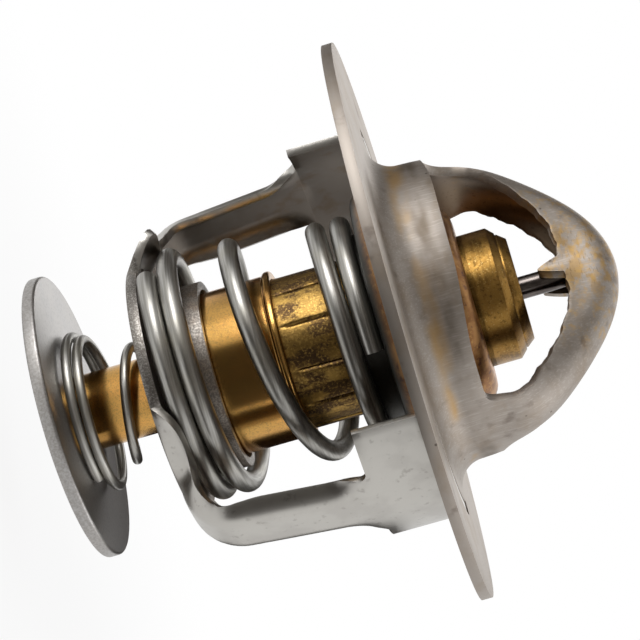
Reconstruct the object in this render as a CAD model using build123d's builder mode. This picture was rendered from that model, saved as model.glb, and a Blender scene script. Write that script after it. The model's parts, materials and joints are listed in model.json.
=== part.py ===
from build123d import *
import os
from math import asin, cos, degrees, pi, radians, sin, sqrt

# Wax-element engine thermostat with a 54 mm flange and a bottom bypass valve.
#
# Millimetres, +Z up.  The origin is the centre of the flange's lower face and Z is the axis of
# the element.  The bow stands above the flange and the cage hangs below it, both in the XZ plane.

# ---------------------------------------------------------------- driving dimensions
sheet = 1.0                     # stainless sheet of the flange pressing and the cage
running_gap = 0.05              # radial clearance of sliding fits
seat_gap = 0.03                 # gap left where two bodies rest on each other
fill_gap = 0.02                 # gap round pieces packed inside others

# flange pressing: flange, drawn neck and bow
flange_radius = 27.0
neck_radius = 14.35             # outside of the drawn neck at its root
neck_rim_radius = 14.2          # outside of the neck at its sheared rim
neck_height = 5.7               # rim above the flange's lower face
neck_fillet = 2.2               # outside fillet between flange and neck
bow_height = 20.6               # crown of the bow above the flange's lower face
bow_sheet = 0.92                # the drawn bow strip is a little thinner than the flange
window_corner = 1.5             # rounding between the neck's rim and the bow's edges
bow_foot_half_width = 4.5
ear_tip = 13.7                  # lower end of the two ears beside the pin
ear_root = 17.0
ear_half_width = 1.3

# cage
tab_radius = 18.9               # outside of the curved tabs under the flange
tab_half_angle = 30.0
tab_height = 6.3
tongue_half_angle = 20.0
slot_half_angle = 28.5
slot_clearance = 0.15
leg_half_width = 3.65
leg_depth = 1.8                 # depth of the leg's channel section
leg_corner = 1.6                # outside corner radius of the channel
leg_bend = 5.6                  # outside bend radius between ring plate and leg
leg_foot_radius = 16.6          # where the leg's crown would meet the ring plate's level
plate_radius = 12.0             # ring plate
plate_level = -22.5             # upper face of the ring plate
burr_radius = 9.07              # outside of the neck drawn up round the cage's hole
burr_wall = 0.8
burr_height = 5.0
burr_bend = 1.0
gusset_root = (7.7, 9.2)        # where the ring plate starts to run out to a leg
gusset_tip = (13.4, 4.55)      # where it meets the leg's flank
gusset_wall = 0.5
gusset_rise = 1.5               # height of the turned-up edge above the plate, at the leg
gusset_flat = 0.35              # share of the edge that stays flat
coil_room = 12.85               # radius kept free for the main spring's foot

# element
cup_radius = 7.9
cup_wall = 0.8
cup_bottom = -24.5
cup_lip = -10.8
cup_lip_bead = 0.3
cup_corner = 1.2
diaphragm_seat = -13.2          # step in the cup's mouth that carries the diaphragm's rim
diaphragm_thickness = 0.8
funnel_radius = 4.8             # mouth of the funnel that the rubber plug fills
funnel_top = -7.0
plug_washer_thickness = 0.4
seal_radius = 3.0
seal_seat = 7.4
cap_seat = 9.0
nose_radius = 3.67
sleeve_radius = 7.34
sleeve_wall = 0.7
crease_count = 9
crease_width = 0.5              # radius of a crease's hollow
crease_depth = 0.16
crease_margin = 0.6
boss_radius = 6.35
boss_top = 9.75
boss_chamfer = 0.7
cap_radius = 5.5
cap_top = 11.4
cap_chamfer = 0.64
cap_chamfer_height = 0.78
pin_radius = 1.08
pin_bottom = -3.0
pin_seat = 0.13                 # gap between the pin's dome and the bow

# main valve
valve_sheet = 0.9
hub_radius = 9.5                # outside of the valve plate's raised hub
hub_bend = 1.8
hub_top = 6.95
foot_bend = 0.4
spring_seat = -1.75             # under face of the valve plate where the spring bears

coil_steps = 12                 # spline points for each turn of a spring

# main spring, right-handed, seated on the cage and under the valve plate
main_wire = 1.95
main_foot_radius = 11.4         # centre line of the wire at the cage
main_head_radius = 10.3         # centre line of the wire at the valve plate
main_lean_height = 1.0          # how far the open turns lean, at their middle
main_lean_angle = 124.5
main_foot_shift = 0.35          # the foot sits this much off the axis
main_sway = 0.4                 # and the open turns swing out by this much more
main_shift_angle = -145.5
main_closed_foot = 1.45         # turns
main_open = 2.0
main_closed_head = 1.03
main_end_angle = -45.5          # cut end at the head

# bypass valve
disc_radius = 13.77
disc_thickness = 1.25
disc_bottom = -33.04
bypass_wire = 0.98
bypass_foot_radius = 7.4        # centre line of the wire on the disc
bypass_head_radius = 4.9        # centre line of the wire under the cup
bypass_closed_foot = 1.35       # turns
bypass_open = 1.3
bypass_closed_head = 0.55
bypass_level_foot = 1.0         # turns before the wire starts to wind in
bypass_level_head = 0.85        # turns at the head's radius
bypass_end_angle = 0.0          # cut end on the disc
nose_tip_radius = 3.0           # reduced tip of the nose that holds the riveted washer
washer_radius = 5.0
washer_thickness = 0.5
washer_clearance = 0.3
disc_edge = 0.2

# ---------------------------------------------------------------- derived sizes
neck_bore = neck_rim_radius - sheet
disc_top = disc_bottom + disc_thickness
guide_radius = sleeve_radius - sleeve_wall - running_gap


def polar(radius, angle, height):
    """Point at a radius, an angle in degrees and a height."""
    return Vector(radius * cos(radians(angle)), radius * sin(radians(angle)), height)


def smooth(t):
    """Ease from 0 to 1 with level ends."""
    t = min(max(t, 0.0), 1.0)
    return t * t * (3.0 - 2.0 * t)


def sector(inner, outer, half_angle, middle):
    """Face between two radii, to both sides of a middle angle in degrees."""
    first = middle - half_angle
    last = middle + half_angle
    with BuildSketch() as face:
        with BuildLine():
            Line(polar(inner, first, 0), polar(outer, first, 0))
            ThreePointArc(polar(outer, first, 0), polar(outer, middle, 0), polar(outer, last, 0))
            Line(polar(outer, last, 0), polar(inner, last, 0))
            ThreePointArc(polar(inner, last, 0), polar(inner, middle, 0), polar(inner, first, 0))
        make_face()
    return face.sketch


def half_section(outline):
    """Face in the XZ plane inside a closed outline of (radius, height) points."""
    with BuildSketch(Plane.XZ) as face:
        with BuildLine():
            Polyline(*outline, close=True)
        make_face()
    return face.sketch


# ================================================================ seat_flange
os.makedirs("parts", exist_ok=True)


def bow_section(plane, radius, half_angle, flank, thickness):
    """Channel section of the bow: an arc with two tangent flanks, its crown at the plane's origin.

    The plane's x axis points out of the crown and its y axis across the strip.
    """
    a = radians(half_angle)
    inner = radius - thickness
    side_out = (radius * cos(a) - radius, radius * sin(a))
    side_in = (inner * cos(a) - radius, inner * sin(a))
    run = (-flank * sin(a), flank * cos(a))
    tip_out = (side_out[0] + run[0], side_out[1] + run[1])
    tip_in = (side_in[0] + run[0], side_in[1] + run[1])
    with BuildSketch(plane) as section:
        with BuildLine():
            Line((tip_out[0], -tip_out[1]), (side_out[0], -side_out[1]))
            ThreePointArc((side_out[0], -side_out[1]), (0, 0), side_out)
            Line(side_out, tip_out)
            Line(tip_out, tip_in)
            Line(tip_in, side_in)
            ThreePointArc(side_in, (-thickness, 0), (side_in[0], -side_in[1]))
            Line((side_in[0], -side_in[1]), (tip_in[0], -tip_in[1]))
            Line((tip_in[0], -tip_in[1]), (tip_out[0], -tip_out[1]))
        make_face()
    return section.sketch


# crown line of the bow, from the neck to the apex: (x, z, lean inwards in degrees, arc radius,
# arc half angle, flank).  The strip folds from the neck's own curve into a tight U round the pin.
crown = neck_rim_radius - 0.04
pin_grip = pin_radius + running_gap + bow_sheet
bow_stations = [
    (crown, neck_height - 1.2, 0.0, crown, 17.8, 0.3),
    (crown, neck_height - 0.2, 0.0, crown, 17.7, 0.3),
    (crown, 7.2, 1.0, 12.0, 20.5, 0.35),
    (crown + 0.05, 8.2, 3.0, 9.0, 24.5, 0.4),
    (13.5, 11.0, 24.0, 5.5, 43.0, 0.6),
    (11.5, 13.9, 41.0, 3.8, 58.0, 0.8),
    (8.8, 16.6, 46.0, 3.0, 70.0, 1.2),
    (5.4, 19.1, 60.0, 2.5, 80.0, 1.9),
    (0.0, bow_height, 90.0, pin_grip, 89.0, 3.0),
]


def bow_plane(x, z, lean):
    """Plane across the bow strip: x axis out of its crown, y axis across it."""
    outward = (cos(radians(lean)), 0, sin(radians(lean)))
    along = (-sin(radians(lean)), 0, cos(radians(lean)))
    return Plane(origin=(x, 0, z), x_dir=outward, z_dir=along)


with BuildPart() as seat_flange:
    # flange and neck
    root_inner = neck_fillet + sheet
    with BuildSketch(Plane.XZ):
        with BuildLine():
            Line((neck_radius - sheet + root_inner, 0), (flange_radius, 0))
            Line((flange_radius, 0), (flange_radius, sheet))
            Line((flange_radius, sheet), (neck_radius + neck_fillet, sheet))
            RadiusArc((neck_radius + neck_fillet, sheet), (neck_radius, sheet + neck_fillet),
                      neck_fillet)
            Line((neck_radius, sheet + neck_fillet), (neck_rim_radius, neck_height))
            Line((neck_rim_radius, neck_height), (neck_bore, neck_height))
            Line((neck_bore, neck_height), (neck_radius - sheet, root_inner))
            RadiusArc((neck_radius - sheet, root_inner), (neck_radius - sheet + root_inner, 0),
                      -root_inner)
        make_face()
    revolve(axis=Axis.Z)
    # bow
    sections = []
    for x, z, lean, radius, half_angle, flank in bow_stations:
        sections.append(bow_section(bow_plane(x, z, lean), radius, half_angle, flank, bow_sheet))
    for x, z, lean, radius, half_angle, flank in reversed(bow_stations[:-1]):
        plane = bow_plane(-x, z, 180.0 - lean)
        sections.append(bow_section(plane, radius, half_angle, flank, bow_sheet))
    loft(sections=sections)
    # rounded corners where the neck's rim runs up into the bow
    corner_reach = bow_foot_half_width + window_corner
    corner_angle = degrees(asin(corner_reach / neck_rim_radius))
    with BuildSketch(Plane.XY.offset(neck_height)):
        for middle in (0, 180):
            add(sector(neck_bore, neck_rim_radius, corner_angle, middle))
    extrude(amount=window_corner)
    with BuildSketch(Plane.YZ):
        for side in (-1, 1):
            with Locations((side * corner_reach, neck_height + window_corner)):
                Circle(window_corner)
    extrude(amount=neck_radius, both=True, mode=Mode.SUBTRACT)
    # ears folded down on both sides of the pin
    for side in (-1, 1):
        ear_plane = Plane(origin=(0, side * (pin_radius + running_gap), 0), x_dir=(-side, 0, 0),
                          z_dir=(0, side, 0))
        with BuildSketch(ear_plane):
            with Locations((0, ear_tip + ear_half_width)):
                Circle(ear_half_width)
            with Locations((0, (ear_tip + ear_half_width + ear_root) / 2)):
                Rectangle(2 * ear_half_width, ear_root - ear_tip - ear_half_width)
        extrude(amount=bow_sheet)
    # slots for the cage's tongues
    with BuildSketch():
        for middle in (0, 180):
            add(sector(tab_radius - sheet - slot_clearance, tab_radius + slot_clearance,
                       slot_half_angle, middle))
    extrude(amount=sheet, mode=Mode.SUBTRACT)
seat_flange.part.label = "seat_flange"
export_step(seat_flange.part, "parts/seat_flange.step")

# ================================================================ cage
leg_crown_level = plate_level - sheet
leg_start = plate_radius - 1.0


def channel(plane):
    """Leg section: flat crown at the plane's origin, flanks turned in, local x out of the crown."""
    outer = leg_half_width
    inner = leg_half_width - sheet
    with BuildSketch(plane) as section:
        with BuildLine():
            Line((-leg_depth, -outer), (-leg_corner, -outer))
            ThreePointArc((-leg_corner, -outer),
                          (-leg_corner * (1 - sqrt(0.5)), -outer + leg_corner * (1 - sqrt(0.5))),
                          (0, -outer + leg_corner))
            Line((0, -outer + leg_corner), (0, outer - leg_corner))
            ThreePointArc((0, outer - leg_corner),
                          (-leg_corner * (1 - sqrt(0.5)), outer - leg_corner * (1 - sqrt(0.5))),
                          (-leg_corner, outer))
            Line((-leg_corner, outer), (-leg_depth, outer))
            Line((-leg_depth, outer), (-leg_depth, inner))
            Line((-leg_depth, inner), (-leg_corner, inner))
            ThreePointArc((-leg_corner, inner),
                          (-leg_corner + (leg_corner - sheet) * sqrt(0.5),
                           inner - (leg_corner - sheet) * (1 - sqrt(0.5))),
                          (-sheet, inner - leg_corner + sheet))
            Line((-sheet, inner - leg_corner + sheet), (-sheet, -inner + leg_corner - sheet))
            ThreePointArc((-sheet, -inner + leg_corner - sheet),
                          (-leg_corner + (leg_corner - sheet) * sqrt(0.5),
                           -inner + (leg_corner - sheet) * (1 - sqrt(0.5))),
                          (-leg_corner, -inner))
            Line((-leg_corner, -inner), (-leg_depth, -inner))
            Line((-leg_depth, -inner), (-leg_depth, -outer))
        make_face()
    return section.sketch


with BuildPart() as cage:
    for side in (-1, 1):
        with BuildLine() as leg_path:
            FilletPolyline((side * leg_start, 0, leg_crown_level),
                           (side * leg_foot_radius, 0, leg_crown_level),
                           (side * (tab_radius - 0.05), 0, -tab_height + 1.2),
                           radius=leg_bend)
        start = Plane(origin=(side * leg_start, 0, leg_crown_level), x_dir=(0, 0, -1),
                      z_dir=(side, 0, 0))
        sweep(sections=channel(start), path=leg_path.line)
        with BuildSketch(Plane.XY.offset(-tab_height)):
            add(sector(tab_radius - sheet, tab_radius, tab_half_angle, 90 - 90 * side))
        extrude(amount=tab_height)
        with BuildSketch():
            add(sector(tab_radius - sheet, tab_radius, tongue_half_angle, 90 - 90 * side))
        extrude(amount=sheet)
    # room for the spring's foot, then the ring plate with its gussets
    with BuildSketch(Plane.XY.offset(plate_level)):
        Circle(coil_room)
    extrude(amount=burr_height, mode=Mode.SUBTRACT)
    for side in (-1, 1):
        for edge in (-1, 1):
            root = Vector(side * gusset_root[0], edge * gusset_root[1], plate_level)
            tip = Vector(side * gusset_tip[0], edge * gusset_tip[1], plate_level)
            run = (tip - root).length
            inward = Vector(0, 0, side * edge).cross(tip - root).normalized() * -1
            wall_plane = Plane(origin=root, x_dir=tip - root, z_dir=inward)
            up = 1 if wall_plane.y_dir.Z > 0 else -1
            with BuildSketch(wall_plane):
                with BuildLine():
                    Polyline((0, -up * sheet), (run, -up * sheet), (run, up * gusset_rise),
                             (run * gusset_flat, 0), (0, 0), close=True)
                make_face()
            extrude(amount=gusset_wall)
    with BuildSketch(Plane.XY.offset(plate_level - sheet)):
        Circle(plate_radius)
        for side in (-1, 1):
            with BuildLine():
                Polyline((0, -gusset_root[1]), (side * gusset_root[0], -gusset_root[1]),
                         (side * gusset_tip[0], -gusset_tip[1]), (side * gusset_tip[0], gusset_tip[1]),
                         (side * gusset_root[0], gusset_root[1]), (0, gusset_root[1]), close=True)
            make_face()
        Circle(burr_radius, mode=Mode.SUBTRACT)
    extrude(amount=sheet)
    with BuildSketch(Plane.XZ):
        burr_top = plate_level + burr_height
        burr_bore = burr_radius - burr_wall
        with BuildLine():
            Polyline((burr_radius + burr_bend, plate_level - sheet), (burr_radius + burr_bend, plate_level),
                     (burr_radius, plate_level), (burr_radius, burr_top), (burr_bore, burr_top),
                     (burr_bore, plate_level - sheet + burr_bend))
            RadiusArc((burr_bore, plate_level - sheet + burr_bend),
                      (burr_bore + burr_bend, plate_level - sheet), -burr_bend)
            Line((burr_bore + burr_bend, plate_level - sheet),
                 (burr_radius + burr_bend, plate_level - sheet))
        make_face()
    revolve(axis=Axis.Z)
cage.part.label = "cage"
export_step(cage.part, "parts/cage.step")


# ================================================================ turned, drawn and moulded pieces
with BuildPart() as piston_pin:
    pin_dome = bow_height - bow_sheet - pin_seat - pin_radius
    with BuildSketch(Plane.XZ):
        with BuildLine():
            Line((0, pin_bottom), (pin_radius, pin_bottom))
            Line((pin_radius, pin_bottom), (pin_radius, pin_dome))
            RadiusArc((pin_radius, pin_dome), (0, pin_dome + pin_radius), -pin_radius)
            Line((0, pin_dome + pin_radius), (0, pin_bottom))
        make_face()
    revolve(axis=Axis.Z)
piston_pin.part.label = "piston_pin"
export_step(piston_pin.part, "parts/piston_pin.step")

cup_bore = cup_radius - cup_wall
cup_mouth = sleeve_radius + fill_gap
nose_end = disc_bottom + running_gap
nose_tip_top = nose_end + washer_thickness
nose_bore = nose_radius - cup_wall
with BuildPart() as wax_cup:
    revolve(half_section([
        (0, nose_end), (nose_tip_radius, nose_end), (nose_tip_radius, nose_tip_top),
        (nose_radius, nose_tip_top), (nose_radius, cup_bottom), (cup_radius, cup_bottom),
        (cup_radius, cup_lip), (cup_mouth, cup_lip), (cup_mouth, diaphragm_seat),
        (cup_bore, diaphragm_seat), (cup_bore, cup_bottom + cup_wall),
        (nose_bore, cup_bottom + cup_wall), (nose_bore, nose_tip_top + cup_wall),
        (0, nose_tip_top + cup_wall)]), axis=Axis.Z)
    bottom_edges = wax_cup.edges().filter_by(GeomType.CIRCLE).filter_by(
        lambda edge: abs(edge.center().Z - cup_bottom) < 0.01 and edge.radius > nose_radius + 0.1)
    fillet(bottom_edges, cup_corner)
    bead_round = (cup_radius + cup_lip_bead - cup_mouth) / 2
    with BuildSketch(Plane.XZ):
        with Locations((cup_mouth + bead_round, cup_lip - bead_round)):
            Circle(bead_round)
    revolve(axis=Axis.Z)
wax_cup.part.label = "wax_cup"
export_step(wax_cup.part, "parts/wax_cup.step")

with BuildPart() as wax_charge:
    revolve(half_section([
        (0, nose_tip_top + cup_wall + fill_gap), (nose_bore - fill_gap, nose_tip_top + cup_wall + fill_gap),
        (nose_bore - fill_gap, cup_bottom + cup_wall + fill_gap),
        (cup_bore - fill_gap, cup_bottom + cup_wall + fill_gap),
        (cup_bore - fill_gap, diaphragm_seat - fill_gap), (0, diaphragm_seat - fill_gap)]), axis=Axis.Z)
wax_charge.part.label = "wax_charge"
export_step(wax_charge.part, "parts/wax_charge.step")

guide_foot = diaphragm_seat + diaphragm_thickness
with BuildPart() as diaphragm:
    revolve(half_section([
        (0, diaphragm_seat), (cup_mouth - fill_gap, diaphragm_seat),
        (cup_mouth - fill_gap, guide_foot - fill_gap), (0, guide_foot - fill_gap)]), axis=Axis.Z)
diaphragm.part.label = "diaphragm"
export_step(diaphragm.part, "parts/diaphragm.step")

# ---------------------------------------------------------------- brass guide and its filling
guide_shoulder = hub_top - valve_sheet
pin_bore = pin_radius + running_gap
plug_top = pin_bottom - plug_washer_thickness - seat_gap
with BuildPart() as guide_body:
    revolve(half_section([
        (funnel_radius, guide_foot), (guide_radius, guide_foot), (guide_radius, guide_shoulder),
        (boss_radius, guide_shoulder), (boss_radius, boss_top),
        (boss_radius - boss_chamfer, boss_top + boss_chamfer), (cap_radius, boss_top + boss_chamfer),
        (cap_radius, cap_seat), (seal_radius, cap_seat), (seal_radius, seal_seat),
        (pin_bore, seal_seat), (pin_bore, funnel_top)]), axis=Axis.Z)
guide_body.part.label = "guide_body"
export_step(guide_body.part, "parts/guide_body.step")

with BuildPart() as rubber_plug:
    revolve(half_section([
        (0, guide_foot), (funnel_radius - fill_gap, guide_foot), (pin_bore - fill_gap, funnel_top),
        (pin_bore - fill_gap, plug_top), (0, plug_top)]), axis=Axis.Z)
rubber_plug.part.label = "rubber_plug"
export_step(rubber_plug.part, "parts/rubber_plug.step")

with BuildPart() as plug_washer:
    with BuildSketch(Plane.XY.offset(plug_top)):
        Circle(pin_bore - fill_gap)
    extrude(amount=plug_washer_thickness)
plug_washer.part.label = "plug_washer"
export_step(plug_washer.part, "parts/plug_washer.step")

with BuildPart() as gland_seal:
    with BuildSketch(Plane.XY.offset(seal_seat)):
        Circle(seal_radius - fill_gap)
        Circle(pin_bore, mode=Mode.SUBTRACT)
    extrude(amount=cap_seat - seal_seat - fill_gap)
gland_seal.part.label = "gland_seal"
export_step(gland_seal.part, "parts/gland_seal.step")

with BuildPart() as gland_cap:
    revolve(half_section([
        (pin_bore, cap_seat), (cap_radius, cap_seat), (cap_radius, cap_top - cap_chamfer_height),
        (cap_radius - cap_chamfer, cap_top), (pin_bore, cap_top)]), axis=Axis.Z)
gland_cap.part.label = "gland_cap"
export_step(gland_cap.part, "parts/gland_cap.step")

# sleeve crimped round the guide: the crimp leaves lengthwise creases of uneven spacing
with BuildPart() as crimp_sleeve:
    with BuildSketch(Plane.XY.offset(guide_foot)):
        Circle(sleeve_radius)
        Circle(sleeve_radius - sleeve_wall, mode=Mode.SUBTRACT)
    extrude(amount=guide_shoulder - guide_foot)
    with BuildSketch(Plane.XY.offset(cup_lip + crease_margin)):
        for number in range(crease_count):
            angle = 360 / crease_count * (number + 0.3 * sin(2.1 * number))
            width = crease_width * (1 + 0.5 * sin(3.7 * number))
            with Locations(polar(sleeve_radius + width - crease_depth, angle, 0)):
                Circle(width)
    extrude(amount=guide_shoulder - cup_lip - 2 * crease_margin, mode=Mode.SUBTRACT)
crimp_sleeve.part.label = "crimp_sleeve"
export_step(crimp_sleeve.part, "parts/crimp_sleeve.step")

# ---------------------------------------------------------------- main valve
bell_centre = (neck_radius - sheet + root_inner, root_inner)
contact = (bell_centre[0] - (root_inner + seat_gap) * sqrt(0.5),
           bell_centre[1] - (root_inner + seat_gap) * sqrt(0.5))
with BuildPart() as valve_plate:
    half_sheet = valve_sheet * sqrt(0.5) / 2
    rim_out = (contact[0] + half_sheet, contact[1] - half_sheet)
    rim_in = (contact[0] - half_sheet, contact[1] + half_sheet)
    seat_top = spring_seat + valve_sheet
    foot_out = (rim_out[0] - (rim_out[1] - spring_seat), spring_seat)
    foot_in = (rim_in[0] - (rim_in[1] - seat_top), seat_top)
    hub_inner = hub_radius - valve_sheet
    with BuildSketch(Plane.XZ):
        with BuildLine():
            Polyline((boss_radius + fill_gap, guide_shoulder), (boss_radius + fill_gap, hub_top),
                     (hub_radius - hub_bend, hub_top))
            RadiusArc((hub_radius - hub_bend, hub_top), (hub_radius, hub_top - hub_bend), hub_bend)
            Line((hub_radius, hub_top - hub_bend), (hub_radius, seat_top + foot_bend))
            RadiusArc((hub_radius, seat_top + foot_bend), (hub_radius + foot_bend, seat_top),
                      -foot_bend)
            Polyline((hub_radius + foot_bend, seat_top), foot_in, rim_in, rim_out, foot_out,
                     (hub_inner + foot_bend, spring_seat))
            RadiusArc((hub_inner + foot_bend, spring_seat), (hub_inner, spring_seat + foot_bend),
                      foot_bend)
            Line((hub_inner, spring_seat + foot_bend), (hub_inner, hub_top - hub_bend))
            RadiusArc((hub_inner, hub_top - hub_bend), (hub_radius - hub_bend, guide_shoulder),
                      -(hub_bend - valve_sheet))
            Line((hub_radius - hub_bend, guide_shoulder), (boss_radius + fill_gap, guide_shoulder))
        make_face()
    revolve(axis=Axis.Z)
valve_plate.part.label = "valve_plate"
export_step(valve_plate.part, "parts/valve_plate.step")


# ================================================================ springs
def coil(first_angle, hand, turns, radius_at, height_at, shift_at):
    """Points of a smooth coil line; radius, height and shift are functions of the turns done.

    A hand of 1 climbs anticlockwise seen from above, a hand of -1 clockwise.
    """
    count = round(turns * coil_steps)
    points = []
    for step in range(count + 1):
        done = turns * step / count
        wire = polar(radius_at(done), first_angle + hand * 360 * done, height_at(done))
        points.append(wire + shift_at(done))
    return points


main_turns = main_closed_foot + main_open + main_closed_head
main_low = plate_level + main_wire / 2 + seat_gap
main_high = spring_seat - main_wire / 2 - seat_gap


def main_opened(done):
    """Share of the open turns done, from 0 at the closed foot to 1 at the closed head."""
    return min(max((done - main_closed_foot) / main_open, 0.0), 1.0)


def main_radius(done):
    """Wire centre line radius of the main spring."""
    return main_foot_radius + (main_head_radius - main_foot_radius) * smooth(main_opened(done) * 1.5)


def main_shift(done):
    """Sideways place of the turn: seated off the axis at the foot, on it at the head."""
    seated = main_foot_shift * (1.0 - main_opened(done))
    swung = main_sway * sin(pi * main_opened(done)) ** 2
    return polar(seated + swung, main_shift_angle, 0)


def main_height(done):
    """Closed turns lie wire on wire, the open turns share what is left."""
    pitch = main_wire + seat_gap
    climb = main_high - main_low - pitch * main_turns
    opened = main_opened(done)
    angle = main_end_angle + 360 * (done - main_turns)
    lean = main_lean_height * sin(pi * opened) ** 2 * cos(radians(angle - main_lean_angle))
    return main_low + pitch * done + climb * smooth(opened) + lean


with BuildPart() as main_spring:
    first = main_end_angle - 360 * main_turns
    with BuildLine() as main_line:
        Spline(*coil(first, 1, main_turns, main_radius, main_height, main_shift))
    with BuildSketch(Plane(origin=main_line.line @ 0, z_dir=main_line.line % 0)):
        Circle(main_wire / 2)
    sweep(path=main_line.line, is_frenet=True)
main_spring.part.label = "main_spring"
export_step(main_spring.part, "parts/main_spring.step")

bypass_turns = bypass_closed_foot + bypass_open + bypass_closed_head
bypass_low = disc_top + bypass_wire / 2 + seat_gap
bypass_high = cup_bottom - bypass_wire / 2 - seat_gap


def bypass_radius(done):
    """The first turn keeps the large radius, then the wire winds in to the head."""
    winding = bypass_turns - bypass_level_foot - bypass_level_head
    wound_in = smooth((done - bypass_level_foot) / winding)
    return bypass_foot_radius + (bypass_head_radius - bypass_foot_radius) * wound_in


def bypass_shift(done):
    """The bypass spring sits on the axis in every turn."""
    return Vector(0, 0, 0)


def bypass_height(done):
    """Foot turns lie wire on wire, the open turn climbs, the head turn lies flat."""
    pitch = bypass_wire + seat_gap
    climb = bypass_high - bypass_low - pitch * bypass_closed_foot
    return (bypass_low + pitch * min(done, bypass_closed_foot)
            + climb * smooth((done - bypass_closed_foot) / bypass_open))


with BuildPart() as bypass_spring:
    with BuildLine() as bypass_line:
        Spline(*coil(bypass_end_angle, -1, bypass_turns, bypass_radius, bypass_height,
                     bypass_shift))
    with BuildSketch(Plane(origin=bypass_line.line @ 0, z_dir=bypass_line.line % 0)):
        Circle(bypass_wire / 2)
    sweep(path=bypass_line.line, is_frenet=True)
bypass_spring.part.label = "bypass_spring"
export_step(bypass_spring.part, "parts/bypass_spring.step")

# ================================================================ bypass valve
with BuildPart() as bypass_disc:
    with BuildSketch(Plane.XY.offset(disc_bottom)):
        Circle(disc_radius)
        Circle(nose_radius + running_gap, mode=Mode.SUBTRACT)
    extrude(amount=disc_thickness)
    with BuildSketch(Plane.XY.offset(disc_bottom)):
        Circle(washer_radius + washer_clearance)
    extrude(amount=washer_thickness + running_gap + seat_gap, mode=Mode.SUBTRACT)
    rim_edges = bypass_disc.edges().filter_by(GeomType.CIRCLE).filter_by(
        lambda edge: edge.radius > disc_radius - 0.01)
    fillet(rim_edges, disc_edge)
bypass_disc.part.label = "bypass_disc"
export_step(bypass_disc.part, "parts/bypass_disc.step")

with BuildPart() as rivet_washer:
    with BuildSketch(Plane.XY.offset(nose_end)):
        Circle(washer_radius)
        Circle(nose_tip_radius, mode=Mode.SUBTRACT)
    extrude(amount=washer_thickness)
rivet_washer.part.label = "rivet_washer"
export_step(rivet_washer.part, "parts/rivet_washer.step")
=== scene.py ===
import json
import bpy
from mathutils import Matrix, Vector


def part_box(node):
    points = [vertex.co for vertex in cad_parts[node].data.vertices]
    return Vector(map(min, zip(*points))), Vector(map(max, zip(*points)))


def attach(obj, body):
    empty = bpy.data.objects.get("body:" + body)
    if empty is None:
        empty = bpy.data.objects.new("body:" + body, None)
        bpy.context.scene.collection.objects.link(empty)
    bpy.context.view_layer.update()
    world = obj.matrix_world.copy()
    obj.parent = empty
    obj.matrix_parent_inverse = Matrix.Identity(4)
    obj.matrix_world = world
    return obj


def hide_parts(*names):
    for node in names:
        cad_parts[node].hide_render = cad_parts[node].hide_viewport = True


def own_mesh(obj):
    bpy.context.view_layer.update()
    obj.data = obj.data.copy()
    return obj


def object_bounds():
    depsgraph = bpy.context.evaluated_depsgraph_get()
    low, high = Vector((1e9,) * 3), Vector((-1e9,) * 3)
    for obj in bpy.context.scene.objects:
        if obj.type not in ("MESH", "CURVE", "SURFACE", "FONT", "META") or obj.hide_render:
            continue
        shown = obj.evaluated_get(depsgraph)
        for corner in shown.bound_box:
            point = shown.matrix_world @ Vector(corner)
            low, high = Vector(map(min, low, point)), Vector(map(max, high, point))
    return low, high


bl_info = {
    "name": "Engine Thermostat",
    "version": (1, 0, 0),
    "blender": (4, 2, 0),
    "location": "3D View > Sidebar > Thermostat",
    "description": "Builds a wax-element engine thermostat with its springs, cage and studio",
    "category": "Add Mesh",
}

from math import ceil, cos, hypot, pi, radians, sin, sqrt, tan

import bpy
import numpy as np
from mathutils import Matrix, Vector

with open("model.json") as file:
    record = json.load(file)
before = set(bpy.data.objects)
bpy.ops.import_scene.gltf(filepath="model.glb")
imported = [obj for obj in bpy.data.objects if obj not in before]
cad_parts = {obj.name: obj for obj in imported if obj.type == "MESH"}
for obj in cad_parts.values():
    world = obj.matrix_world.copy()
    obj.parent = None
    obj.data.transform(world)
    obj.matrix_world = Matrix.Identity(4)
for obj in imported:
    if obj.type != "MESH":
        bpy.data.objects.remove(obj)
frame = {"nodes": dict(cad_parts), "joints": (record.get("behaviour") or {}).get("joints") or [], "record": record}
CAD_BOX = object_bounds()
MM = 0.001
TRAVEL = {joint["name"]: joint["range_m"][1] / MM for joint in frame["joints"]}


def reach(node):
    """Lowest and highest corner of a CAD node in millimetres, to a thousandth."""
    return [[round(value / MM, 3) for value in corner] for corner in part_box(node)]


# ------------------------------------------------------------------ colour and mesh helpers
def linear(code):
    """Linear RGB of an sRGB hex colour."""
    values = [int(code[i:i + 2], 16) / 255 for i in (1, 3, 5)]
    return tuple(v / 12.92 if v <= 0.04045 else ((v + 0.055) / 1.055) ** 2.4 for v in values)


def rounded(corners, turn=15.0):
    """Outline of (across, height, corner radius) points with each corner turned into an arc."""
    points = []
    for i, (x, y, r) in enumerate(corners):
        here = np.array((x, y))
        if r <= 0 or i in (0, len(corners) - 1):
            points.append(here)
            continue
        before = np.array(corners[i - 1][:2]) - here
        after = np.array(corners[i + 1][:2]) - here
        before = before / np.linalg.norm(before)
        after = after / np.linalg.norm(after)
        half = np.arccos(np.clip(before @ after, -1, 1)) / 2
        middle = (before + after) / np.linalg.norm(before + after)
        centre = here + middle * r / sin(half)
        first = here + before * r / tan(half) - centre
        swing = pi - 2 * half
        last = here + after * r / tan(half) - centre
        side = np.sign(first[0] * last[1] - first[1] * last[0])
        steps = max(2, ceil(swing / radians(turn)))
        for k in range(steps + 1):
            a = side * swing * k / steps
            points.append(centre + np.array((first[0] * cos(a) - first[1] * sin(a),
                                             first[0] * sin(a) + first[1] * cos(a))))
    return np.array(points)


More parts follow.
